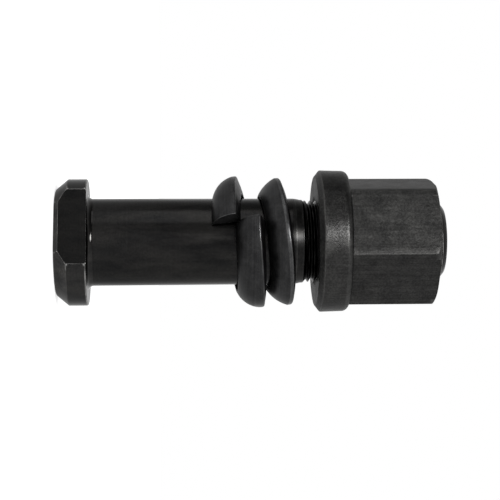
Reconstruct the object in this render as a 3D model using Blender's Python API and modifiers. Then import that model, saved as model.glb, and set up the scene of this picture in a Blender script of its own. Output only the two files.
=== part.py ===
"""Wheel bolt for a commercial vehicle, with two conical spring rings and a collar nut.

Metres, +Z up. The bolt stands on its head: the origin is at the centre of the head's
end face, and +Z runs along the bolt towards its thread. The locking flat of the head
and one spanner flat of the nut face -Y.
"""

import math

import bmesh
import bpy
from mathutils import Matrix, Vector
from mathutils.bvhtree import BVHTree

# Bolt: one forging, turned and threaded
THREAD_DIAMETER = 0.0220
THREAD_LENGTH = 0.0379
THREAD_END_CHAMFER = 0.0021
THREAD_END_BULGE = 0.00025
NECK_OVER_THREAD = 0.0004
NECK_LENGTH = 0.0024
NECK_TAPER_LENGTH = 0.0016
SHANK_OVER_THREAD = 0.0014
SHANK_TAPER = 0.0003
UNDER_HEAD_LENGTH = 0.0957
SEAT_FILLET = 0.0011
HEAD_RADIUS = 0.0170
HEAD_THICKNESS = 0.0086
HEAD_CHAMFER = 0.0029
HEAD_END_ROUND = 0.0010
HEAD_SEAT_ROUND = 0.0004
HEAD_FLAT_LEDGE = 0.0018
HEAD_FLAT_BEVEL = 0.0012

# Collar nut: hexagon and flat collar in one piece
HEX_ACROSS_FLATS = 0.0314
HEX_EDGE_ROUND = 0.0004
HEX_CHAMFER_ANGLE = math.radians(30)
HEX_END_LEDGE = 0.0004
HEX_END_BULGE = 0.00015
NUT_HEIGHT = 0.0322
NUT_BACK_FROM_BOLT_END = 0.0026
COLLAR_PAST_CORNERS = 0.0010
COLLAR_THICKNESS = 0.0092
COLLAR_CHAMFER_HEIGHT = 0.0013
COLLAR_CHAMFER_WIDTH = 0.00165
COLLAR_DRAFT = 0.0002
COLLAR_BACK_SLOPE = 0.0005
COLLAR_BACK_ROUND = 0.0018
NUT_COUNTERSINK = 0.0008
THREAD_GAP = 0.0003

# Conical spring rings: one split turn each, sprung open like a coil and leaning on the shank
RING_NOSE_WALL = 0.00045
RING_RIM_LAND = 0.0012
RING_RIM_ROUND = 0.0005
RING_BACK_RISE = 0.0015
RING_BACK_BULGE = 0.00015
RING_SPLIT = 0.0008
RING_GAP = 0.0003
RINGS_BELOW_NUT = 0.0057

LOWER_RING_PLAY = 0.00119
LOWER_RING_WALL = 0.0051
LOWER_RING_NOSE_LENGTH = 0.0062
LOWER_RING_NOSE_BULGE = 0.0010
LOWER_RING_LIFT = 0.0062
LOWER_RING_LOW_SIDE = math.radians(221.4)
LOWER_RING_SPLIT_SIDE = math.radians(263)

UPPER_RING_PLAY = 0.00101
UPPER_RING_PAST_HEAD = 0.00021
UPPER_RING_NOSE_LENGTH = 0.0053
UPPER_RING_NOSE_BULGE = 0.0005
UPPER_RING_LIFT = 0.0006
UPPER_RING_LOW_SIDE = math.radians(174)
UPPER_RING_SPLIT_SIDE = math.radians(45)

# How finely round forms are divided
TURN_STEPS = 64
RING_STEPS = 54
ROUND_STEPS = 3

# Finish of the pieces: black phosphated steel
BOLT_COLOUR = (0.020, 0.020, 0.021, 1.0)
RING_COLOUR = (0.030, 0.031, 0.033, 1.0)
NUT_COLOUR = (0.035, 0.034, 0.032, 1.0)


def clear_scene():
    for obj in list(bpy.data.objects):
        bpy.data.objects.remove(obj, do_unlink=True)


def new_collection(name):
    collection = bpy.data.collections.new(name)
    bpy.context.scene.collection.children.link(collection)
    return collection


def new_material(name, colour, roughness):
    material = bpy.data.materials.new(name)
    material.use_nodes = True
    shader = material.node_tree.nodes["Principled BSDF"]
    shader.inputs["Base Color"].default_value = colour
    shader.inputs["Roughness"].default_value = roughness
    shader.inputs["Metallic"].default_value = 1.0
    return material


def arc(start, end, sagitta, steps):
    """Points from start to end on a round arc that bulges to the right of the way there."""
    chord = Vector(end) - Vector(start)
    half = chord.length / 2
    radius = (half * half + sagitta * sagitta) / (2 * sagitta)
    middle = (Vector(start) + Vector(end)) / 2
    side = Vector((chord.y, -chord.x)).normalized()
    centre = middle - side * (radius - sagitta)
    sweep = 2 * math.asin(half / radius)
    first = Vector(start) - centre
    return [centre + Matrix.Rotation(sweep * i / steps, 2) @ first for i in range(steps + 1)]


def rounded(corner, before, after, size, steps=ROUND_STEPS):
    """Points that replace a corner by a curve which starts and ends at size from it."""
    corner = Vector(corner)
    start = corner + (Vector(before) - corner).normalized() * size
    end = corner + (Vector(after) - corner).normalized() * size
    points = []
    for i in range(steps + 1):
        t = i / steps
        points.append(start * (1 - t) ** 2 + corner * 2 * t * (1 - t) + end * t * t)
    return points


def new_object(name, mesh, collection, material=None):
    obj = bpy.data.objects.new(name, mesh)
    collection.objects.link(obj)
    if material:
        mesh.materials.append(material)
    return obj


def turned(name, profile, collection, material=None):
    """A solid of revolution about Z from (radius, height) points, listed top to bottom."""
    mesh = bpy.data.meshes.new(name)
    points = [(radius, 0, height) for radius, height in profile]
    edges = [(i, i + 1) for i in range(len(points) - 1)]
    mesh.from_pydata(points, edges, [])
    obj = new_object(name, mesh, collection, material)
    screw = obj.modifiers.new("Turn", "SCREW")
    screw.steps = TURN_STEPS
    screw.render_steps = TURN_STEPS
    screw.use_merge_vertices = True
    screw.merge_threshold = 0.00001
    return obj


def hide_as_cutter(obj):
    obj.hide_render = True
    obj.display_type = "WIRE"
    return obj


def box_cutter(name, centre, size, turn_about_x, collection):
    mesh = bpy.data.meshes.new(name)
    bm = bmesh.new()
    bmesh.ops.create_cube(bm, size=1.0, matrix=Matrix.Diagonal((*size, 1)))
    bm.to_mesh(mesh)
    bm.free()
    obj = new_object(name, mesh, collection)
    obj.location = centre
    obj.rotation_euler.x = turn_about_x
    return hide_as_cutter(obj)


def boolean(obj, operation, other, name):
    modifier = obj.modifiers.new(name, "BOOLEAN")
    modifier.operation = operation
    modifier.object = other
    modifier.solver = "EXACT"


def shade(obj):
    obj.data.shade_smooth()
    obj.data.set_sharp_from_angle(angle=math.radians(30))


def shank_radius():
    return (THREAD_DIAMETER + SHANK_OVER_THREAD) / 2


def make_bolt(parts, cutters, material):
    seat = HEAD_THICKNESS
    end = HEAD_THICKNESS + UNDER_HEAD_LENGTH
    thread_start = end - THREAD_LENGTH
    neck_start = thread_start - NECK_LENGTH
    thread = THREAD_DIAMETER / 2
    neck = thread + NECK_OVER_THREAD / 2
    shank_end = shank_radius() - SHANK_TAPER / 2
    shank = shank_radius()
    cone_top = HEAD_CHAMFER + HEAD_END_ROUND / 2
    profile = [
        (0, end),
        *arc((thread - THREAD_END_CHAMFER, end), (thread, end - THREAD_END_CHAMFER), -THREAD_END_BULGE, 3),
        (thread, thread_start + (neck - thread)),
        (neck, thread_start),
        (neck, neck_start + NECK_TAPER_LENGTH),
        (shank_end, neck_start),
        *rounded((shank, seat), (shank, end), (HEAD_RADIUS, seat), SEAT_FILLET),
        *rounded((HEAD_RADIUS, seat), (shank, seat), (HEAD_RADIUS, 0), HEAD_SEAT_ROUND),
        (HEAD_RADIUS, cone_top),
        *rounded((HEAD_RADIUS - HEAD_CHAMFER, 0), (HEAD_RADIUS, cone_top), (0, 0), HEAD_END_ROUND),
        (0, 0),
    ]
    bolt = turned("bolt", profile, parts, material)
    flat_from_axis = shank + HEAD_FLAT_LEDGE
    across_head = 4 * HEAD_RADIUS
    flat = box_cutter(
        "head_flat_cutter",
        (0, -flat_from_axis - HEAD_RADIUS, HEAD_THICKNESS / 2),
        (across_head, 2 * HEAD_RADIUS, 2 * HEAD_THICKNESS),
        0,
        cutters,
    )
    bevel_face = HEAD_FLAT_BEVEL * math.sqrt(2)
    bevel = box_cutter(
        "head_flat_bevel_cutter",
        (0, -flat_from_axis, 0),
        (across_head, bevel_face, 2 * bevel_face),
        math.radians(45),
        cutters,
    )
    boolean(bolt, "DIFFERENCE", flat, "Locking flat")
    boolean(bolt, "DIFFERENCE", bevel, "Flat's lower edge")
    shade(bolt)
    return bolt


def make_nut(base, parts, cutters, material):
    """The nut, its bearing face at height base."""
    top = base + NUT_HEIGHT
    collar_back = base + COLLAR_THICKNESS
    flat = HEX_ACROSS_FLATS / 2
    corner = HEX_ACROSS_FLATS / math.sqrt(3)
    bore = THREAD_DIAMETER / 2 + THREAD_GAP
    collar = corner + COLLAR_PAST_CORNERS
    collar_rim = collar - COLLAR_DRAFT

    collar_profile = [
        (0, collar_back),
        (flat - HEX_EDGE_ROUND, collar_back),
        *rounded(
            (collar_rim, collar_back - COLLAR_BACK_SLOPE),
            (flat, collar_back),
            (collar, base),
            COLLAR_BACK_ROUND,
            steps=4,
        ),
        (collar, base + COLLAR_CHAMFER_HEIGHT),
        (collar - COLLAR_CHAMFER_WIDTH, base),
        (0, base),
    ]
    nut = turned("nut", collar_profile, parts, material)

    hexagon_mesh = bpy.data.meshes.new("nut_hexagon")
    hex_height = NUT_HEIGHT - COLLAR_CHAMFER_HEIGHT
    bm = bmesh.new()
    bmesh.ops.create_cone(
        bm, cap_ends=True, segments=6, radius1=corner, radius2=corner, depth=hex_height
    )
    bmesh.ops.rotate(bm, matrix=Matrix.Rotation(math.radians(30), 3, "Z"), verts=bm.verts)
    corner_edges = [
        edge for edge in bm.edges if abs(edge.verts[0].co.z - edge.verts[1].co.z) > hex_height / 2
    ]
    bmesh.ops.bevel(bm, geom=corner_edges, offset=HEX_EDGE_ROUND, segments=2, affect="EDGES", profile=0.5)
    bm.to_mesh(hexagon_mesh)
    bm.free()
    hexagon = hide_as_cutter(new_object("nut_hexagon", hexagon_mesh, cutters))
    hexagon.location.z = top - hex_height / 2

    chamfer_width = corner - flat + HEX_END_LEDGE
    chamfer_foot = top - chamfer_width * math.tan(HEX_CHAMFER_ANGLE)
    past_corners = 2 * corner
    chamfer_profile = [
        (0, top),
        *arc((corner - chamfer_width, top), (corner, chamfer_foot), -HEX_END_BULGE, 4),
        (past_corners, chamfer_foot - (past_corners - corner)),
        (past_corners, base),
        (0, base),
    ]
    chamfer_blank = hide_as_cutter(turned("nut_chamfer_blank", chamfer_profile, cutters))
    boolean(hexagon, "INTERSECT", chamfer_blank, "End chamfer")

    mouth = bore + 2 * NUT_COUNTERSINK
    bore_profile = [
        (0, top + NUT_COUNTERSINK),
        (mouth, top + NUT_COUNTERSINK),
        (bore, top - NUT_COUNTERSINK),
        (bore, base + NUT_COUNTERSINK),
        (mouth, base - NUT_COUNTERSINK),
        (0, base - NUT_COUNTERSINK),
    ]
    bore_cutter = hide_as_cutter(turned("nut_bore_cutter", bore_profile, cutters))
    boolean(nut, "UNION", hexagon, "Hexagon")
    boolean(nut, "DIFFERENCE", bore_cutter, "Threaded bore")
    shade(nut)
    return nut


def ring_section(bore, wall, nose_length, nose_bulge):
    """The section as (radius, height) points, the rim's middle at height 0 and the nose below it."""
    rim = bore + wall
    half_land = RING_RIM_LAND / 2
    outside = arc((bore + RING_NOSE_WALL, -nose_length), (rim, -half_land), nose_bulge, 7)
    back_foot = (rim - half_land, half_land)
    return [
        Vector((bore, -nose_length)),
        *outside,
        *rounded((rim, half_land), outside[-1], back_foot, RING_RIM_ROUND, steps=3),
        *arc(back_foot, (bore, RING_BACK_RISE), RING_BACK_BULGE, 3),
    ]


def make_ring(name, play, wall, nose_length, nose_bulge, lift, low_side, split_side, parts, material):
    """One split turn of the section, its ends a lift apart, leaning to low_side on the shank."""
    bore = shank_radius() + play
    turn = 2 * math.pi - RING_SPLIT / (bore + wall / 2)
    place = Matrix.Rotation(split_side, 4, "Z") @ Matrix.Translation((0, 0, -lift / 2))
    mesh = bpy.data.meshes.new(name)
    bm = bmesh.new()
    corners = [
        bm.verts.new(place @ Vector((point.x, 0, point.y)))
        for point in ring_section(bore, wall, nose_length, nose_bulge)
    ]
    loop = [bm.edges.new((corners[i - 1], corners[i])) for i in range(len(corners))]
    bmesh.ops.spin(
        bm,
        geom=[*corners, *loop],
        cent=(0, 0, 0),
        axis=(0, 0, -1),
        dvec=(0, 0, lift / RING_STEPS),
        angle=turn,
        steps=RING_STEPS,
        use_duplicate=False,
    )
    ends = [edge for edge in bm.edges if edge.is_boundary]
    bmesh.ops.holes_fill(bm, edges=ends, sides=len(corners))
    bmesh.ops.recalc_face_normals(bm, faces=bm.faces)
    bm.to_mesh(mesh)
    bm.free()
    ring = new_object(name, mesh, parts, material)
    nose_on_shank = (shank_radius() + RING_GAP) / math.hypot(bore, nose_length)
    lean = math.acos(nose_on_shank) - math.atan2(nose_length, bore)
    lean_axis = Vector((-math.sin(low_side), math.cos(low_side), 0))
    ring.rotation_mode = "QUATERNION"
    ring.rotation_quaternion = Matrix.Rotation(lean, 3, lean_axis).to_quaternion()
    shade(ring)
    return ring


def world_surface(obj):
    """The object's points where they stand, and its surface for finding what is over them."""
    bpy.context.view_layer.update()
    points = [obj.matrix_world @ vertex.co for vertex in obj.data.vertices]
    faces = [tuple(polygon.vertices) for polygon in obj.data.polygons]
    return points, BVHTree.FromPolygons(points, faces)


def hang_below(ring, height):
    """Moves the ring along the axis until its highest point is at this height."""
    points, _ = world_surface(ring)
    ring.location.z += height - max(point.z for point in points)


def nest_under(ring, above, gap):
    """Moves the ring up from far below until it is a gap short of the ring above it."""
    ring.location.z = above.location.z - UNDER_HEAD_LENGTH
    points, surface = world_surface(ring)
    points_above, surface_above = world_surface(above)
    up = Vector((0, 0, 1))
    clear = [surface_above.ray_cast(point, up)[3] for point in points]
    clear += [surface.ray_cast(point, -up)[3] for point in points_above]
    ring.location.z += min(distance for distance in clear if distance is not None) - gap


clear_scene()
wheel_bolt_parts = new_collection("wheel_bolt")
wheel_bolt_cutters = new_collection("wheel_bolt_cutters")
bolt_steel = new_material("bolt_black_steel", BOLT_COLOUR, 0.35)
ring_steel = new_material("ring_phosphated_steel", RING_COLOUR, 0.50)
nut_steel = new_material("nut_phosphated_steel", NUT_COLOUR, 0.45)

bolt_end = HEAD_THICKNESS + UNDER_HEAD_LENGTH
nut_base = bolt_end - NUT_BACK_FROM_BOLT_END - NUT_HEIGHT
upper_ring_rim = HEAD_RADIUS + UPPER_RING_PAST_HEAD
upper_ring_wall = upper_ring_rim - shank_radius() - UPPER_RING_PLAY
make_bolt(wheel_bolt_parts, wheel_bolt_cutters, bolt_steel)
make_nut(nut_base, wheel_bolt_parts, wheel_bolt_cutters, nut_steel)
upper_ring = make_ring(
    "upper_spring_ring",
    UPPER_RING_PLAY,
    upper_ring_wall,
    UPPER_RING_NOSE_LENGTH,
    UPPER_RING_NOSE_BULGE,
    UPPER_RING_LIFT,
    UPPER_RING_LOW_SIDE,
    UPPER_RING_SPLIT_SIDE,
    wheel_bolt_parts,
    ring_steel,
)
lower_ring = make_ring(
    "lower_spring_ring",
    LOWER_RING_PLAY,
    LOWER_RING_WALL,
    LOWER_RING_NOSE_LENGTH,
    LOWER_RING_NOSE_BULGE,
    LOWER_RING_LIFT,
    LOWER_RING_LOW_SIDE,
    LOWER_RING_SPLIT_SIDE,
    wheel_bolt_parts,
    ring_steel,
)
hang_below(upper_ring, nut_base - RINGS_BELOW_NUT)
nest_under(lower_ring, upper_ring, RING_GAP)
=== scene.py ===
"""Looks of a commercial vehicle's wheel bolt with its two conical spring rings and collar nut.

Metres, +Z up. The bolt stands on its head, and the camera lies over, so that the picture
shows it on its side with the head at the left.
"""

import math

import bmesh
import bpy
from mathutils import Matrix, Vector


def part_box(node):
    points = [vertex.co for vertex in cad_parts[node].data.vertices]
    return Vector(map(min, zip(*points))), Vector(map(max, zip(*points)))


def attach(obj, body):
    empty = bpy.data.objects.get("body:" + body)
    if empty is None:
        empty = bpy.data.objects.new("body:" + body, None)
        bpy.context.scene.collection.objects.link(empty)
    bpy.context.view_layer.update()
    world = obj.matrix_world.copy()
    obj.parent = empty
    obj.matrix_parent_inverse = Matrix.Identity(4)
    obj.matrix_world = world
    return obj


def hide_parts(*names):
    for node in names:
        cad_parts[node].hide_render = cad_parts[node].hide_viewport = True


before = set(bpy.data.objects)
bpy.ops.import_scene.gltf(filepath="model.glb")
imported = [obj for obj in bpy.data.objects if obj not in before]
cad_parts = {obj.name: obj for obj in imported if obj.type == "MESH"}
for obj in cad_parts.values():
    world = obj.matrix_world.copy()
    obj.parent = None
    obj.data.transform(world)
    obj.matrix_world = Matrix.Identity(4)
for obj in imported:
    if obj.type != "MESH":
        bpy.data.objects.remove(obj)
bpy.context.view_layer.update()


# Bolt
# One forging, turned along its shank, with a rolled M22 x 1.5 thread and a flat milled on its
# round head that keeps it from turning in the hub. Black phosphated and oiled steel, rubbed
# pale along its edges.

bolt_low, bolt_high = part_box("bolt")
HEAD_RADIUS = bolt_high.y
HEAD_FLAT_FROM_AXIS = -bolt_low.y
BOLT_LENGTH = bolt_high.z
HEAD_THICKNESS = 0.0086
HEAD_CONE_WIDTH = 0.0029
HEAD_CONE_HEIGHT = 0.0034
HEAD_FOOT_ROUNDING = 0.0010
HEAD_CONE_ROUNDING = 0.0006
HEAD_SEAT_ROUNDING = 0.0004
HEAD_FLAT_BEVEL = 0.0012
SEAT_FILLET = 0.0015
SHANK_RADIUS = 0.0117
SHANK_END_RADIUS = 0.01155
SHANK_END_ROUNDING = 0.0070
NECK_RADIUS = 0.0112
NECK_ROUNDING = 0.0010
NECK_LENGTH = 0.0020
NECK_TAPER_LENGTH = 0.0015
THREAD_RADIUS = 0.0110
THREAD_LENGTH = 0.0383
THREAD_PITCH = 0.0015
THREAD_DEPTH = 0.00081
THREAD_RUNOUT = 0.0012
THREAD_START_TAPER = 0.0006
THREAD_END_CHAMFER = 0.0021
THREAD_END_SLOPE = 0.62
THREAD_END_BEND = 0.42
THREAD_ROWS_PER_TURN = 10
THREAD_START = BOLT_LENGTH - THREAD_LENGTH
NECK_START = THREAD_START - NECK_LENGTH
BOLT_STEPS = 144
END_FACE_RINGS = (0.97, 0.5)
BOLT_EDGE_BREAK = 0.00024
ONE_POINT = 0.000002
MENDED_SLIVER = 0.000010
FADE_LINE_TOLERANCE = 0.000001
SHARP_ANGLE = math.radians(40)


def softened(corners, degrees_per_step=9):
    """The outline through (radius, height, rounding) corners, each turned into an arc."""
    outline = []
    for index, (radius, height, rounding) in enumerate(corners):
        corner = Vector((radius, height))
        if rounding == 0:
            outline.append(corner)
            continue
        back = (Vector(corners[index - 1][:2]) - corner).normalized()
        on = (Vector(corners[index + 1][:2]) - corner).normalized()
        turn = math.pi - back.angle(on)
        start = corner + back * rounding * math.tan(turn / 2)
        centre = corner + (back + on).normalized() * rounding / math.cos(turn / 2)
        side = math.copysign(1, back.cross(on))
        steps = max(2, math.ceil(math.degrees(turn) / degrees_per_step))
        for step in range(steps + 1):
            turned = Matrix.Rotation(-side * turn * step / steps, 2) @ (start - centre)
            outline.append(centre + turned)
    return with_rubbed_edges(outline)


RUBBED_WIDTH = 0.00025


def with_rubbed_edges(outline):
    """Adds a point close to both ends of each long line, where the rubbed edge fades out."""
    finer = outline[:1]
    for start, end in zip(outline, outline[1:]):
        if (end - start).length > 3 * RUBBED_WIDTH:
            along = (end - start).normalized() * RUBBED_WIDTH
            finer += [start + along, end - along]
        finer.append(end)
    return finer


def turned_mesh(outline, steps):
    """The outline of (radius, height) points turned about Z, as an editable mesh."""
    bm = bmesh.new()
    points = [bm.verts.new((point.x, 0, point.y)) for point in outline]
    edges = [bm.edges.new(pair) for pair in zip(points, points[1:])]
    bmesh.ops.spin(
        bm, geom=[*points, *edges], cent=(0, 0, 0), axis=(0, 0, 1), angle=2 * math.pi, steps=steps
    )
    bmesh.ops.remove_doubles(bm, verts=bm.verts, dist=ONE_POINT)
    bmesh.ops.recalc_face_normals(bm, faces=bm.faces)
    return bm


def new_piece(name, bm):
    """Makes an object of the editable mesh, which ends here."""
    mesh = bpy.data.meshes.new(name)
    bm.to_mesh(mesh)
    bm.free()
    piece = bpy.data.objects.new(name, mesh)
    bpy.context.scene.collection.objects.link(piece)
    return piece


def block(name, low, high):
    """A plain block between two corners."""
    low, high = Vector(low), Vector(high)
    bm = bmesh.new()
    place = Matrix.Translation((low + high) / 2) @ Matrix.Diagonal((*(high - low), 1))
    bmesh.ops.create_cube(bm, size=1, matrix=place)
    return new_piece(name, bm)


def settle(piece):
    """Turns the piece's modifiers into its mesh."""
    graph = bpy.context.evaluated_depsgraph_get()
    mesh = bpy.data.meshes.new_from_object(piece.evaluated_get(graph))
    piece.modifiers.clear()
    piece.data = mesh


def cut(piece, cutter, operation="DIFFERENCE"):
    """Cuts the piece by the cutter for good, and throws the cutter away."""
    boolean = piece.modifiers.new("cut", "BOOLEAN")
    boolean.operation = operation
    boolean.solver = "EXACT"
    boolean.object = cutter
    settle(piece)
    bpy.data.objects.remove(cutter)


def break_edges(piece, width, least_angle, fades=()):
    """Breaks the sharp edges by a narrow rounding, and lets the rub fade out at these planes.

    Points that come to lie almost on each other are merged, and the slivers between them go.
    """
    bevel = piece.modifiers.new("broken edges", "BEVEL")
    bevel.width = width
    bevel.segments = 2
    bevel.limit_method = "ANGLE"
    bevel.angle_limit = math.radians(least_angle)
    settle(piece)
    bm = bmesh.new()
    bm.from_mesh(piece.data)
    for point, normal in fades:
        everything = [*bm.verts, *bm.edges, *bm.faces]
        bmesh.ops.bisect_plane(
            bm, geom=everything, dist=FADE_LINE_TOLERANCE, plane_co=point, plane_no=normal
        )
    bmesh.ops.remove_doubles(bm, verts=bm.verts, dist=MENDED_SLIVER)
    bmesh.ops.dissolve_degenerate(bm, dist=ONE_POINT, edges=bm.edges)
    stray = [face for face in bm.faces if all(len(edge.link_faces) != 2 for edge in face.edges)]
    bmesh.ops.delete(bm, geom=stray, context="FACES")
    bm.to_mesh(piece.data)
    bm.free()
    piece.data.shade_smooth()
    piece.data.set_sharp_from_angle(angle=SHARP_ANGLE)
    weighted = piece.modifiers.new("even shading", "WEIGHTED_NORMAL")
    weighted.keep_sharp = True


head_and_shank = softened(
    [
        (0, 0, 0),
        (HEAD_RADIUS - HEAD_CONE_WIDTH, 0, HEAD_FOOT_ROUNDING),
        (HEAD_RADIUS, HEAD_CONE_HEIGHT, HEAD_CONE_ROUNDING),
        (HEAD_RADIUS, HEAD_THICKNESS, HEAD_SEAT_ROUNDING),
        (SHANK_RADIUS, HEAD_THICKNESS, SEAT_FILLET),
        (SHANK_END_RADIUS, NECK_START, SHANK_END_ROUNDING),
        (NECK_RADIUS, NECK_START + NECK_TAPER_LENGTH, NECK_ROUNDING),
        (NECK_RADIUS, THREAD_START, 0),
    ]
)


def thread_radius(height, azimuth):
    """How far out the thread's surface lies at this height and azimuth."""
    along = height - THREAD_START
    phase = (along - THREAD_PITCH * azimuth / (2 * math.pi)) % THREAD_PITCH
    from_root = abs(phase - THREAD_PITCH / 2)
    root_half_width = THREAD_PITCH / 8
    rise = min(THREAD_DEPTH, max(0, from_root - root_half_width) * math.sqrt(3))
    runout = min(1, along / THREAD_RUNOUT)
    taper = 1 - min(1, along / THREAD_START_TAPER)
    crest = THREAD_RADIUS + (NECK_RADIUS - THREAD_RADIUS) * taper
    radius = crest - (THREAD_DEPTH - rise) * runout
    end = height - (BOLT_LENGTH - THREAD_END_CHAMFER)
    if end > 0:
        slope = THREAD_END_SLOPE + THREAD_END_BEND * end / THREAD_END_CHAMFER
        radius = min(radius, THREAD_RADIUS - end * slope)
    return radius


def bridge(bm, lower, upper):
    """Closes the band between two rings of points."""
    for step in range(len(lower)):
        after = (step + 1) % len(lower)
        bm.faces.new((lower[step], lower[after], upper[after], upper[step]))


bm = turned_mesh(head_and_shank, BOLT_STEPS)
row_count = round(THREAD_LENGTH / THREAD_PITCH * THREAD_ROWS_PER_TURN)
rows = []
for row in range(row_count + 1):
    height = THREAD_START + THREAD_LENGTH * row / row_count
    ring = []
    for step in range(BOLT_STEPS):
        azimuth = 2 * math.pi * step / BOLT_STEPS
        radius = thread_radius(height, azimuth)
        ring.append(bm.verts.new((radius * math.cos(azimuth), radius * math.sin(azimuth), height)))
    rows.append(ring)
for lower, upper in zip(rows, rows[1:]):
    bridge(bm, lower, upper)
end_face = rows[-1]
for share in END_FACE_RINGS:
    places = [(vert.co.x * share, vert.co.y * share, BOLT_LENGTH) for vert in end_face]
    inner = [bm.verts.new(place) for place in places]
    bridge(bm, end_face, inner)
    end_face = inner
bm.faces.new(end_face)
bmesh.ops.remove_doubles(bm, verts=bm.verts, dist=MENDED_SLIVER)
bmesh.ops.recalc_face_normals(bm, faces=bm.faces)
bolt = new_piece("wheel_bolt", bm)

cutter_reach = 2 * HEAD_RADIUS
flat_block = block(
    "flat_cutter",
    (-cutter_reach, -cutter_reach, -HEAD_THICKNESS),
    (cutter_reach, -HEAD_FLAT_FROM_AXIS, 2 * HEAD_THICKNESS),
)
cut(bolt, flat_block)
bevel_half = HEAD_FLAT_BEVEL / math.sqrt(2)
bevel_corner = Vector((cutter_reach, bevel_half, 2 * bevel_half))
bevel_block = block("bevel_cutter", -bevel_corner, bevel_corner)
bevel_block.rotation_euler.x = math.radians(45)
bevel_block.location.y = -HEAD_FLAT_FROM_AXIS
bpy.context.view_layer.update()
cut(bolt, bevel_block)
break_edges(bolt, BOLT_EDGE_BREAK, least_angle=34)

WIDEST_RUB = 0.0004
LEAST_RUBBED_BEND = 0.10
FULL_RUB_AFTER = 0.15


def mark_wear(piece, exposed=None):
    """Stores how rubbed each face is at its corners: 1 at a sharp edge, times what exposed says.

    The rub fades out across narrow faces only, so that none of it spreads over a wide one.
    """
    bm = bmesh.new()
    bm.from_mesh(piece.data)
    bm.normal_update()
    bm.verts.index_update()
    bend = [0.0] * len(bm.verts)
    for edge in bm.edges:
        if len(edge.link_faces) != 2:
            continue
        angle = edge.calc_face_angle_signed(0)
        for vert in edge.verts:
            bend[vert.index] = max(bend[vert.index], angle)
    rubbed = [min(1, max(0, (angle - LEAST_RUBBED_BEND) / FULL_RUB_AFTER)) for angle in bend]
    if exposed:
        rubbed = [share * exposed(vert.co) for share, vert in zip(rubbed, bm.verts)]
    at_corners = []
    for face in bm.faces:
        narrow = face.calc_area() / max(edge.calc_length() for edge in face.edges) < WIDEST_RUB
        at_corners += [rubbed[vert.index] if narrow else 0.0 for vert in face.verts]
    bm.free()
    wear = piece.data.attributes.new("wear", "FLOAT", "CORNER")
    wear.data.foreach_set("value", at_corners)


THREAD_RUB = 0.03
HEAD_CONE_RUB = 0.15
HEAD_FLAT_SEAT_RUB = 1.6
SHELTER_BEFORE_THREAD = 0.0005
SHELTER_ENDS_BELOW_TOP = 0.003
HEAD_CONE_ZONE = 0.6 * HEAD_THICKNESS
HEAD_SEAT_ZONE = 0.9 * HEAD_THICKNESS
HEAD_FLAT_ZONE = 0.0004


def bolt_exposed(point):
    """How much the rub reaches each place: little in the thread and round the head's cone."""
    if THREAD_START - SHELTER_BEFORE_THREAD < point.z < BOLT_LENGTH - SHELTER_ENDS_BELOW_TOP:
        return THREAD_RUB
    if point.z < HEAD_CONE_ZONE and point.y > -HEAD_FLAT_FROM_AXIS + HEAD_FLAT_BEVEL:
        return HEAD_CONE_RUB
    if point.y < -HEAD_FLAT_FROM_AXIS + HEAD_FLAT_ZONE and point.z > HEAD_SEAT_ZONE:
        return HEAD_FLAT_SEAT_RUB
    return 1.0


HEAD_TOP = HEAD_THICKNESS + 0.0001
FILLET_TOP = HEAD_THICKNESS + SEAT_FILLET
NECK_FINISH_START = NECK_START - 0.0008
LOOKS_UP = 0.9
LOOKS_OFF_FLAT = -0.99
CONE_NORMALS = (-0.95, -0.3)
FLAT_BEVEL_NORMAL = -0.68
# How much brighter and rougher each area of the bolt is; the dark thread is painted shade.
BOLT_FINISH = {
    "end face": (0.1, 0.30),
    "end chamfer": (-0.2, 0.05),
    # painted shade: the thread and the ends of its grooves are darkened for the shade in the
    # grooves and in the gap between the rings and the nut
    "thread": (-0.70, 0.05),
    "end of a thread groove": (-0.70, 0.30),
    "neck": (0.0, 0.11),
    "shank": (0.0, 0.02),
    "fillet": (0.5, -0.08),
    "locking flat": (-0.15, 0.05),
    "bevel of the flat": (2.2, 0.05),
    "cone": (1.7, 0.05),
    "rest of the head": (0.45, 0.05),
}


def bolt_area(middle, normal):
    """Which area of the bolt a face lies in."""
    if middle.z > BOLT_LENGTH - THREAD_END_CHAMFER:
        return "end face" if normal.z > LOOKS_UP else "end chamfer"
    if middle.z > THREAD_START:
        return "end of a thread groove" if normal.z > LOOKS_UP else "thread"
    if middle.z > NECK_FINISH_START:
        return "neck"
    if middle.z > HEAD_TOP:
        return "fillet" if middle.z < FILLET_TOP else "shank"
    if normal.y < LOOKS_OFF_FLAT:
        return "locking flat"
    if CONE_NORMALS[0] < normal.z < CONE_NORMALS[1]:
        return "bevel of the flat" if normal.z < FLAT_BEVEL_NORMAL else "cone"
    return "rest of the head"


def mark_finish(piece, finish_of):
    """Stores how much brighter, as a share of its colour, and rougher than its steel a face is.

    The function gives both, brighter first, for the middle and the normal of the face. The
    brightness holds painted shade and painted highlights as well as real finishes.
    """
    finish = [finish_of(face.center, face.normal) for face in piece.data.polygons]
    for quality, values in zip(("brighter", "rougher"), zip(*finish)):
        stored = piece.data.attributes.new(quality, "FLOAT", "FACE")
        stored.data.foreach_set("value", values)


mark_wear(bolt, bolt_exposed)
mark_finish(bolt, lambda middle, normal: BOLT_FINISH[bolt_area(middle, normal)])


def feed(tree, socket, value):
    """Links a shader value to the socket, or sets a constant on it."""
    if isinstance(value, bpy.types.NodeSocket):
        tree.links.new(value, socket)
    else:
        socket.default_value = value


def shader_node(tree, kind, **settings):
    """A new shader node, its own settings set by name and its sockets by names with spaces as _."""
    made = tree.nodes.new(kind)
    for name, value in settings.items():
        if hasattr(made, name):
            setattr(made, name, value)
        else:
            feed(tree, made.inputs[name.replace("_", " ")], value)
    return made


def joined(tree, operation, *values):
    """The outcome of a sum of two or three shader values or numbers."""
    made = shader_node(tree, "ShaderNodeMath", operation=operation)
    for socket, value in zip(made.inputs, values):
        feed(tree, socket, value)
    return made.outputs[0]


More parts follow.
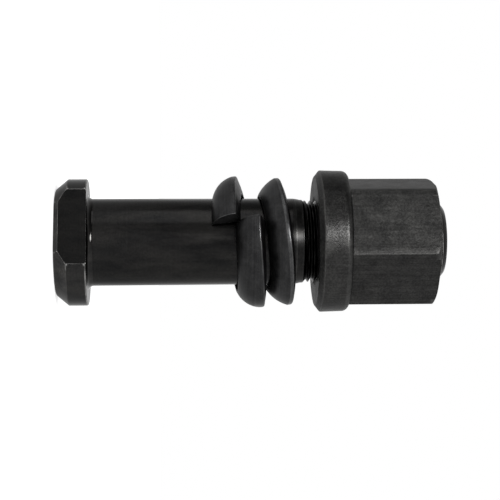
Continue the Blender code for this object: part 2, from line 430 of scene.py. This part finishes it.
def ranged(tree, value, low, high, low_becomes, high_becomes, **settings):
    """The shader value with its range from low to high turned into another one."""
    made = shader_node(tree, "ShaderNodeMapRange", Value=value, From_Min=low, From_Max=high)
    made.inputs["To Min"].default_value = low_becomes
    made.inputs["To Max"].default_value = high_becomes
    for name, setting in settings.items():
        setattr(made, name, setting)
    return made.outputs[0]


def noise(tree, place, scale, **settings):
    """Cloudy noise between 0 and 1."""
    made = shader_node(tree, "ShaderNodeTexNoise", Vector=place, Scale=scale, **settings)
    return made.outputs["Fac"]


def stored(tree, quality):
    """A quality of the finish, as marked on the piece's faces or corners."""
    return shader_node(tree, "ShaderNodeAttribute", attribute_name=quality).outputs["Fac"]


REFLECTED_TINT = (0.65, 0.65, 0.65, 1)
CLOUD_STOPS = (0.34, 0.68)
CLOUD_RANGE = (0.3, 0.7)
GRAIN_RANGE = (0.35, 0.65)
MARK_LENGTH = 0.025
PATCHES_PER_METRE = 260
PATCH_RANGE = (0.34, 0.72)


def black_steel(
    name, deep, pale, worn, roughness, cloud, grain, speckle, marks, streaks, drawn=False
):
    """Black phosphated steel, mottled and rubbed pale along its edges.

    cloud is the spacing of the colour's clouds, across the piece and along it. grain and marks
    are the spacing and depth of the pickled grain and of the turning marks, which run lengthwise
    on drawn steel. speckle and streaks are how much grain and marks show in the colour.
    """
    material = bpy.data.materials.new(name)
    material.use_nodes = True
    tree = material.node_tree
    shader = tree.nodes["Principled BSDF"]
    shader.inputs["Metallic"].default_value = 1.0
    shader.inputs["Specular Tint"].default_value = REFLECTED_TINT
    place = shader_node(tree, "ShaderNodeTexCoord").outputs["Object"]

    cloud_scale = (1 / cloud[0], 1 / cloud[0], 1 / cloud[1])
    clouds = shader_node(tree, "ShaderNodeMapping", Vector=place, Scale=cloud_scale).outputs[0]
    clouds = noise(tree, clouds, 1, Detail=5, Roughness=0.6, Distortion=0.3)
    ramp = shader_node(tree, "ShaderNodeValToRGB", Fac=clouds)
    for stop, position, tint in zip(ramp.color_ramp.elements, CLOUD_STOPS, (deep, pale)):
        stop.position = position
        stop.color = (*tint, 1)

    grains = noise(tree, place, 1 / grain[0], Detail=3, Roughness=0.6)
    across, along = 1 / marks[0], 1 / MARK_LENGTH
    stretch = (across, across, along) if drawn else (along, along, across)
    lines = shader_node(tree, "ShaderNodeMapping", Vector=place, Scale=stretch).outputs[0]
    lines = noise(tree, lines, 1, Detail=3)
    shades = [
        ranged(tree, relief, *GRAIN_RANGE, 1 - share, 1 + share)
        for relief, share in ((grains, speckle), (lines, streaks))
    ]
    mottle = joined(tree, "MULTIPLY", *shades)
    # the stored brightness, which carries painted shade and painted highlights as well as finishes,
    # scales the mottled colour
    tone = joined(tree, "MULTIPLY_ADD", mottle, stored(tree, "brighter"), mottle)
    colour = shader_node(tree, "ShaderNodeVectorMath", operation="SCALE", Scale=tone)
    tree.links.new(ramp.outputs["Color"], colour.inputs[0])

    patches = noise(tree, place, PATCHES_PER_METRE, Detail=9, Roughness=0.72)
    patches = ranged(tree, patches, *PATCH_RANGE, 0.0, 1.0)
    rub = joined(tree, "MULTIPLY", stored(tree, "wear"), patches)
    mixed = shader_node(tree, "ShaderNodeMix", data_type="RGBA", Factor=rub)
    # a colour mix takes its two colours at sockets 6 and 7, and gives their mix at 2
    unworn, bare = mixed.inputs[6], mixed.inputs[7]
    feed(tree, unworn, colour.outputs[0])
    feed(tree, bare, (*worn, 1))
    tree.links.new(mixed.outputs[2], shader.inputs["Base Color"])

    rough = ranged(tree, clouds, *CLOUD_RANGE, *roughness)
    rough = joined(tree, "ADD", rough, stored(tree, "rougher"))
    tree.links.new(rough, shader.inputs["Roughness"])

    bump = None
    for relief, depth in ((grains, grain[1]), (lines, marks[1])):
        layer = shader_node(tree, "ShaderNodeBump", Height=relief, Distance=depth, Strength=1.0)
        if bump:
            tree.links.new(bump.outputs[0], layer.inputs["Normal"])
        bump = layer
    tree.links.new(bump.outputs[0], shader.inputs["Normal"])
    return material


def dress(piece, steel):
    """Makes the whole piece of this steel."""
    piece.data.materials.clear()
    piece.data.materials.append(steel)


bolt_steel = black_steel(
    "bolt_black_steel",
    deep=(0.0126, 0.0126, 0.0128),
    pale=(0.0226, 0.0219, 0.0210),
    worn=(0.700, 0.690, 0.675),
    roughness=(0.16, 0.23),
    cloud=(0.0030, 0.0120),
    grain=(0.0005, 0.000004),
    speckle=0.18,
    marks=(0.00020, 0.0000012),
    streaks=0.05,
)
dress(bolt, bolt_steel)
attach(bolt, "bolt")
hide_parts("bolt")


# Spring rings
# Two conical rings of spring steel, each one split turn. The lower one is sprung open like a
# coil. Both lean on the shank, and they centre the bolt in the wheel's countersunk hole.

RING_STEPS = 150
RING_SPLIT = 0.0008
RING_GAP = 0.0003
RING_NOSE_WALL = 0.00045
RING_CONE_STEPS = 14
RING_RIM_LAND = 0.0012
RING_RIM_ROUNDING = 0.0005
RING_BACK_RISE = 0.0015
RING_BACK_BULGE = 0.00015
RING_BACK_STEPS = 5
RING_EDGE_BREAK = 0.00012


def bowed(start, end, rise, steps):
    """Points from start to end along an arc that bows out by rise, to the right of the way."""
    start, end = Vector(start), Vector(end)
    half = (end - start).length / 2
    radius = (half * half + rise * rise) / (2 * rise)
    way = (end - start).normalized()
    centre = (start + end) / 2 + Vector((-way.y, way.x)) * (radius - rise)
    sweep = 2 * math.asin(half / radius)
    turns = [Matrix.Rotation(sweep * step / steps, 2) for step in range(steps + 1)]
    return [centre + turn @ (start - centre) for turn in turns]


RIM_LOOKS_OUT = 0.96
RIM_ROUGHER = -0.10
CUT_END_LOOKS_ALONG = 0.8
CUT_END_BRIGHTER = 1.0
BACK_LOOKS_UP = 0.6
BACK_BRIGHTER = 0.3


def spring_ring(
    name,
    node,
    play,
    wall,
    nose_length,
    nose_bulge,
    lift,
    low_side,
    split_side,
    rim_brighter,
    nose_brighter,
):
    """One split turn of the ring's section, leaning until its nose clears the shank by the gap."""
    bore = SHANK_RADIUS + play
    rim = bore + wall
    half_land = RING_RIM_LAND / 2
    nose = (bore + RING_NOSE_WALL, -nose_length)
    cone = bowed(nose, (rim, -half_land), nose_bulge, RING_CONE_STEPS)
    inner_edge = (bore, RING_BACK_RISE)
    back = bowed((rim - half_land, half_land), inner_edge, RING_BACK_BULGE, RING_BACK_STEPS)
    rim_corners = [(*cone[-1], 0), (rim, half_land, RING_RIM_ROUNDING), (*back[0], 0)]
    rim_edge = softened(rim_corners, degrees_per_step=18)
    section = [Vector((bore, -nose_length)), *cone, *rim_edge[1:-1], *back]

    bm = bmesh.new()
    place = Matrix.Rotation(split_side, 4, "Z") @ Matrix.Translation((0, 0, -lift / 2))
    corners = [bm.verts.new(place @ Vector((point.x, 0, point.y))) for point in section]
    loop = [bm.edges.new((corners[index - 1], corners[index])) for index in range(len(corners))]
    bmesh.ops.spin(
        bm,
        geom=[*corners, *loop],
        cent=(0, 0, 0),
        axis=(0, 0, -1),
        dvec=(0, 0, lift / RING_STEPS),
        angle=2 * math.pi - RING_SPLIT / (bore + wall / 2),
        steps=RING_STEPS,
    )
    cut_ends = [edge for edge in bm.edges if edge.is_boundary]
    bmesh.ops.holes_fill(bm, edges=cut_ends, sides=len(corners))
    bmesh.ops.recalc_face_normals(bm, faces=bm.faces)

    upright = math.atan2(nose_length, bore)
    lean = math.acos((SHANK_RADIUS + RING_GAP) / math.hypot(bore, nose_length)) - upright
    lean_axis = Vector((-math.sin(low_side), math.cos(low_side), 0))
    lean_over = Matrix.Rotation(lean, 3, lean_axis)
    bmesh.ops.rotate(bm, cent=(0, 0, 0), matrix=lean_over, verts=bm.verts)
    highest = max(vert.co.z for vert in bm.verts)
    bmesh.ops.translate(bm, vec=(0, 0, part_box(node)[1].z - highest), verts=bm.verts)
    ring = new_piece(name, bm)
    break_edges(ring, RING_EDGE_BREAK, least_angle=30)

    def ring_finish(middle, normal):
        """Brighter cut ends and back, a painted highlight on the rim, painted light at the nose."""
        from_axis = math.hypot(middle.x, middle.y)
        if abs(middle.x * normal.y - middle.y * normal.x) / from_axis > CUT_END_LOOKS_ALONG:
            return CUT_END_BRIGHTER, 0.0
        # painted highlight: the rim is made brighter to strengthen the front box's glint on it, as
        # well as smoother
        if (middle.x * normal.x + middle.y * normal.y) / from_axis > RIM_LOOKS_OUT:
            return rim_brighter, RIM_ROUGHER
        if normal.z > BACK_LOOKS_UP:
            return BACK_BRIGHTER, 0.0
        # painted light: the cone is brightened towards its nose, where the ring below shades it
        return nose_brighter * min(1, max(0, 1 - (from_axis - bore) / wall)), 0.0

    mark_wear(ring)
    mark_finish(ring, ring_finish)
    dress(ring, ring_steel)
    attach(ring, "bolt")
    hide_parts(node)


ring_steel = black_steel(
    "ring_phosphated_steel",
    deep=(0.0200, 0.0200, 0.0205),
    pale=(0.0330, 0.0330, 0.0335),
    worn=(0.105, 0.105, 0.105),
    roughness=(0.34, 0.44),
    cloud=(0.003, 0.003),
    grain=(0.0004, 0.000005),
    speckle=0.16,
    marks=(0.00030, 0.0000025),
    streaks=0.12,
)
spring_ring(
    "spring_ring_lower",
    "lower_spring_ring",
    play=0.00119,
    wall=0.0051,
    nose_length=0.0062,
    nose_bulge=0.0010,
    lift=0.0062,
    low_side=math.radians(221.4),
    split_side=math.radians(263),
    # a faint painted highlight on the rim
    rim_brighter=0.1,
    nose_brighter=0.0,
)
spring_ring(
    "spring_ring_upper",
    "upper_spring_ring",
    play=0.00101,
    wall=0.0045,
    nose_length=0.0053,
    nose_bulge=0.0005,
    lift=0.0006,
    low_side=math.radians(174),
    split_side=math.radians(45),
    # painted highlight on the rim
    rim_brighter=1.1,
    # painted light at the nose, which the lower ring shades
    nose_brighter=0.8,
)


# Nut
# Hexagon and flat collar forged as one, turned on its bearing face and its collar, chamfered
# at the end and black phosphated. Fine marks run lengthwise along the hexagon, and its flats
# bend down a little towards its narrow corners.

nut_low, nut_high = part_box("nut")
NUT_BASE = nut_low.z
NUT_TOP = nut_high.z
HEX_ACROSS_FLATS = 0.0314
HEX_CORNER = HEX_ACROSS_FLATS / math.sqrt(3)
HEX_EDGE_RADIUS = 0.0006
HEX_FLANK_RADIUS = 0.013
HEX_FLANK_BEND = 7
HEX_BEND_STEPS = 5
HEX_END_CHAMFER_ANGLE = math.radians(28)
HEX_END_CHAMFER_PAST_FLATS = 0.0004
HEX_END_BULGE = 0.0005
HEX_END_STEPS = 10
COLLAR_RADIUS = nut_high.x
COLLAR_THICKNESS = 0.0092
COLLAR_START_IN_HEX = 0.001
COLLAR_BACK_FALL = 0.0005
COLLAR_BACK_ROUNDING = 0.0018
COLLAR_SIDE_ROUNDING = 0.0004
COLLAR_FACE_ROUNDING = 0.0002
COLLAR_CHAMFER_HEIGHT = 0.0013
COLLAR_CHAMFER_WIDTH = 0.00165
COLLAR_DRAFT = 0.0002
NUT_BORE_RADIUS = 0.0113
NUT_COUNTERSINK = 0.0008
NUT_STEPS = 168
NUT_EDGE_BREAK = 0.00012
END_EDGE_RUB = 0.00007
END_CHAMFER_RUB = 0.0019

collar_back = NUT_BASE + COLLAR_THICKNESS
collar = softened(
    [
        (0, collar_back, 0),
        (HEX_ACROSS_FLATS / 2 - COLLAR_START_IN_HEX, collar_back, 0),
        (COLLAR_RADIUS - COLLAR_DRAFT, collar_back - COLLAR_BACK_FALL, COLLAR_BACK_ROUNDING),
        (COLLAR_RADIUS, NUT_BASE + COLLAR_CHAMFER_HEIGHT, COLLAR_SIDE_ROUNDING),
        (COLLAR_RADIUS - COLLAR_CHAMFER_WIDTH, NUT_BASE, COLLAR_FACE_ROUNDING),
        (0, NUT_BASE, 0),
    ]
)
nut = new_piece("collar_nut", turned_mesh(collar, NUT_STEPS))


def hexagon_corner():
    """The outline round the corner on +X: a narrow rounding between two flanks that just bend."""
    corner = [Vector((0, 0))]
    flat_turn = 30
    edge_turn = flat_turn - HEX_FLANK_BEND
    for start, end, radius in (
        (-flat_turn, -edge_turn, HEX_FLANK_RADIUS),
        (-edge_turn, edge_turn, HEX_EDGE_RADIUS),
        (edge_turn, flat_turn, HEX_FLANK_RADIUS),
    ):
        turn = (end - start) / HEX_BEND_STEPS
        for step in range(HEX_BEND_STEPS):
            facing = math.radians(start + turn * (step + 0.5))
            way = Vector((-math.sin(facing), math.cos(facing)))
            corner.append(corner[-1] + radius * math.radians(turn) * way)
    half = corner[-1].y / 2
    slant = math.radians(flat_turn)
    on_flat = (HEX_ACROSS_FLATS / 2 - half * math.sin(slant)) / math.cos(slant)
    return [point + Vector((on_flat, -half)) for point in corner]


hex_height = NUT_TOP - NUT_BASE - COLLAR_CHAMFER_HEIGHT
bm = bmesh.new()
turns = [Matrix.Rotation(math.radians(60 * corner), 2) for corner in range(6)]
outline = [turn @ point for turn in turns for point in hexagon_corner()]
foot = bm.faces.new([bm.verts.new((point.x, point.y, NUT_TOP - hex_height)) for point in outline])
raised = bmesh.ops.extrude_face_region(bm, geom=[foot])["geom"]
raised = [part for part in raised if isinstance(part, bmesh.types.BMVert)]
bmesh.ops.translate(bm, vec=(0, 0, hex_height), verts=raised)
bmesh.ops.recalc_face_normals(bm, faces=bm.faces)
hexagon = new_piece("hexagon", bm)

chamfer_width = HEX_CORNER - HEX_ACROSS_FLATS / 2 + HEX_END_CHAMFER_PAST_FLATS
chamfer_foot = NUT_TOP - chamfer_width * math.tan(HEX_END_CHAMFER_ANGLE)
chamfer_low = (HEX_CORNER, chamfer_foot)
chamfer_high = (HEX_CORNER - chamfer_width, NUT_TOP)
end_chamfer = [
    Vector((0, NUT_TOP)),
    *bowed(chamfer_low, chamfer_high, HEX_END_BULGE, HEX_END_STEPS)[::-1],
    Vector((2 * HEX_CORNER, chamfer_foot - HEX_CORNER)),
    Vector((2 * HEX_CORNER, NUT_BASE)),
    Vector((0, NUT_BASE)),
]
cut(hexagon, new_piece("end_chamfer", turned_mesh(end_chamfer, NUT_STEPS)), "INTERSECT")
cut(nut, hexagon, "UNION")
mouth = NUT_BORE_RADIUS + 2 * NUT_COUNTERSINK
bore = [
    Vector((0, NUT_TOP + NUT_COUNTERSINK)),
    Vector((mouth, NUT_TOP + NUT_COUNTERSINK)),
    Vector((NUT_BORE_RADIUS, NUT_TOP - NUT_COUNTERSINK)),
    Vector((NUT_BORE_RADIUS, NUT_BASE + NUT_COUNTERSINK)),
    Vector((mouth, NUT_BASE - NUT_COUNTERSINK)),
    Vector((0, NUT_BASE - NUT_COUNTERSINK)),
]
cut(nut, new_piece("bore", turned_mesh(bore, NUT_STEPS)))
fades = [NUT_TOP - END_EDGE_RUB, NUT_TOP - END_CHAMFER_RUB, collar_back + RUBBED_WIDTH]
fades = [((0, 0, height), (0, 0, 1)) for height in fades]
break_edges(nut, NUT_EDGE_BREAK, least_angle=25, fades=fades)

COLLAR_SIDE_FROM_AXIS = COLLAR_RADIUS - 0.0004
COLLAR_SIDE_FINISH = (0.10, -0.09)


def nut_finish(middle, normal):
    """The finish of the collar's round side, which is turned smoother than the rest."""
    from_axis = math.hypot(middle.x, middle.y)
    if middle.z < collar_back and from_axis > COLLAR_SIDE_FROM_AXIS:
        return COLLAR_SIDE_FINISH
    return 0.0, 0.0


nut_steel = black_steel(
    "nut_phosphated_steel",
    deep=(0.0225, 0.0223, 0.0220),
    pale=(0.0370, 0.0366, 0.0355),
    worn=(0.120, 0.118, 0.115),
    roughness=(0.40, 0.50),
    cloud=(0.004, 0.004),
    grain=(0.0005, 0.00005),
    speckle=0.27,
    marks=(0.0006, 0.0000060),
    streaks=0.15,
    drawn=True,
)
mark_wear(nut)
mark_finish(nut, nut_finish)
dress(nut, nut_steel)
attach(nut, "nut")
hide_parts("nut")


# Camera
# It looks straight at the bolt's side from 434 mm away, 18 degrees round from the head's flat,
# lying on its side so that the bolt's axis runs across the picture.

CAMERA_AZIMUTH = math.radians(18.2)
CAMERA_YAW = math.radians(2.75)
CAMERA_ROLL = math.radians(0.34)
CAMERA_AIM_HEIGHT = 0.05209
CAMERA_DROP = 0.0023
CAMERA_DISTANCE = 0.43405
CAMERA_LENS = 115.63
CAMERA_SENSOR = 36

up = Vector((0, 0, 1))
side_on = Vector((math.sin(CAMERA_AZIMUTH), -math.cos(CAMERA_AZIMUTH), 0))
picture_up = side_on.cross(up)
backward = side_on * math.cos(CAMERA_YAW) - up * math.sin(CAMERA_YAW)
rightward = up * math.cos(CAMERA_YAW) + side_on * math.sin(CAMERA_YAW)
rolled_right = rightward * math.cos(CAMERA_ROLL) - picture_up * math.sin(CAMERA_ROLL)
rolled_up = picture_up * math.cos(CAMERA_ROLL) + rightward * math.sin(CAMERA_ROLL)

camera = bpy.data.objects.new("camera", bpy.data.cameras.new("camera"))
bpy.context.scene.collection.objects.link(camera)
camera.data.sensor_width = CAMERA_SENSOR
camera.data.lens = CAMERA_LENS
camera.matrix_world = Matrix((rolled_right, rolled_up, backward)).transposed().to_4x4()
camera.location = up * CAMERA_AIM_HEIGHT + backward * CAMERA_DISTANCE - picture_up * CAMERA_DROP
bpy.context.scene.camera = camera


# Floor and surroundings
# The bolt stands on a white sheet in a white tent, which the camera sees as plain white. The
# tent's opening, in front and over the bolt as the picture shows it, is dimmer, so that the
# steel keeps some shape.

SHEET_SIZE = 6
SHEET_BELOW_BOLT = 0.00005
SHEET_WHITE = (0.9, 0.9, 0.9, 1)
SHEET_GLOW = (0.6, 0.6, 0.6, 1)
SHEET_GLOW_IN_STEEL = 0.42
OPENING_RISE = 1.73
OPENING_EDGE = math.radians(95)
OPENING_MIDDLE = math.radians(25)
OPENING_LEVEL = 0.15
TENT_LIGHT_ON_STEEL = 0.75


def rays_of(tree):
    """Two shader values: 1 for rays of the camera or through glass, and 1 for reflected rays."""
    ray = tree.nodes.new("ShaderNodeLightPath")
    straight = (ray.outputs["Is Camera Ray"], ray.outputs["Is Transmission Ray"])
    return joined(tree, "MAXIMUM", *straight), ray.outputs["Is Glossy Ray"]


bpy.ops.mesh.primitive_plane_add(size=SHEET_SIZE, location=(0, 0, -SHEET_BELOW_BOLT))
floor = bpy.context.active_object
floor.name = "white_sheet"
white_sheet = bpy.data.materials.new("white_sheet")
white_sheet.use_nodes = True
tree = white_sheet.node_tree
paper = tree.nodes["Principled BSDF"]
paper.inputs["Base Color"].default_value = SHEET_WHITE
paper.inputs["Roughness"].default_value = 0.9
paper.inputs["Specular IOR Level"].default_value = 0.0
paper.inputs["Emission Color"].default_value = SHEET_GLOW
straight, reflected = rays_of(tree)
in_steel = joined(tree, "MULTIPLY", reflected, SHEET_GLOW_IN_STEEL)
tree.links.new(joined(tree, "MAXIMUM", straight, in_steel), paper.inputs["Emission Strength"])
floor.data.materials.append(white_sheet)

world = bpy.data.worlds.new("white_tent")
bpy.context.scene.world = world
world.use_nodes = True
tree = world.node_tree
tent = tree.nodes["Background"]
tent.inputs["Color"].default_value = (1, 1, 1, 1)
toward = tree.nodes.new("ShaderNodeTexCoord").outputs["Generated"]
facing = shader_node(tree, "ShaderNodeVectorMath", operation="DOT_PRODUCT")
feed(tree, facing.inputs[0], toward)
feed(tree, facing.inputs[1], (side_on + picture_up * OPENING_RISE).normalized())
edge, middle = math.cos(OPENING_EDGE), math.cos(OPENING_MIDDLE)
facing = facing.outputs["Value"]
wall = ranged(tree, facing, edge, middle, 1.0, OPENING_LEVEL, interpolation_type="SMOOTHSTEP")
straight, reflected = rays_of(tree)
soft = ranged(tree, reflected, 0.0, 1.0, TENT_LIGHT_ON_STEEL, 1.0)
level = joined(tree, "MAXIMUM", joined(tree, "MULTIPLY", wall, soft), straight)
tree.links.new(level, tent.inputs["Strength"])


# Lights
# One soft box in front of the nut end, a little over the camera, and a wide dim one over the
# bolt. They stand far enough off to light the whole bolt evenly.

LIGHT_DISTANCE = 0.9


def soft_box(name, direction, shape, size, strength):
    """A lamp that looks at the middle of the bolt from this direction."""
    light = bpy.data.lights.new(name, "AREA")
    light.shape = shape
    light.size, light.size_y = size
    light.energy = strength
    lamp = bpy.data.objects.new(name, light)
    bpy.context.scene.collection.objects.link(lamp)
    lamp.location = up * CAMERA_AIM_HEIGHT + direction.normalized() * LIGHT_DISTANCE
    lamp.rotation_mode = "QUATERNION"
    lamp.rotation_quaternion = direction.to_track_quat("Z", "Y")


soft_box(
    "front_box",
    direction=side_on + up * 0.42 + picture_up * 0.23,
    shape="ELLIPSE",
    size=(0.26, 0.32),
    strength=6.0,
)
soft_box(
    "top_box",
    direction=picture_up + side_on * 0.34 - up * 0.04,
    shape="RECTANGLE",
    size=(0.62, 0.24),
    strength=0.85,
)

bpy.context.scene.view_settings.view_transform = "Standard"
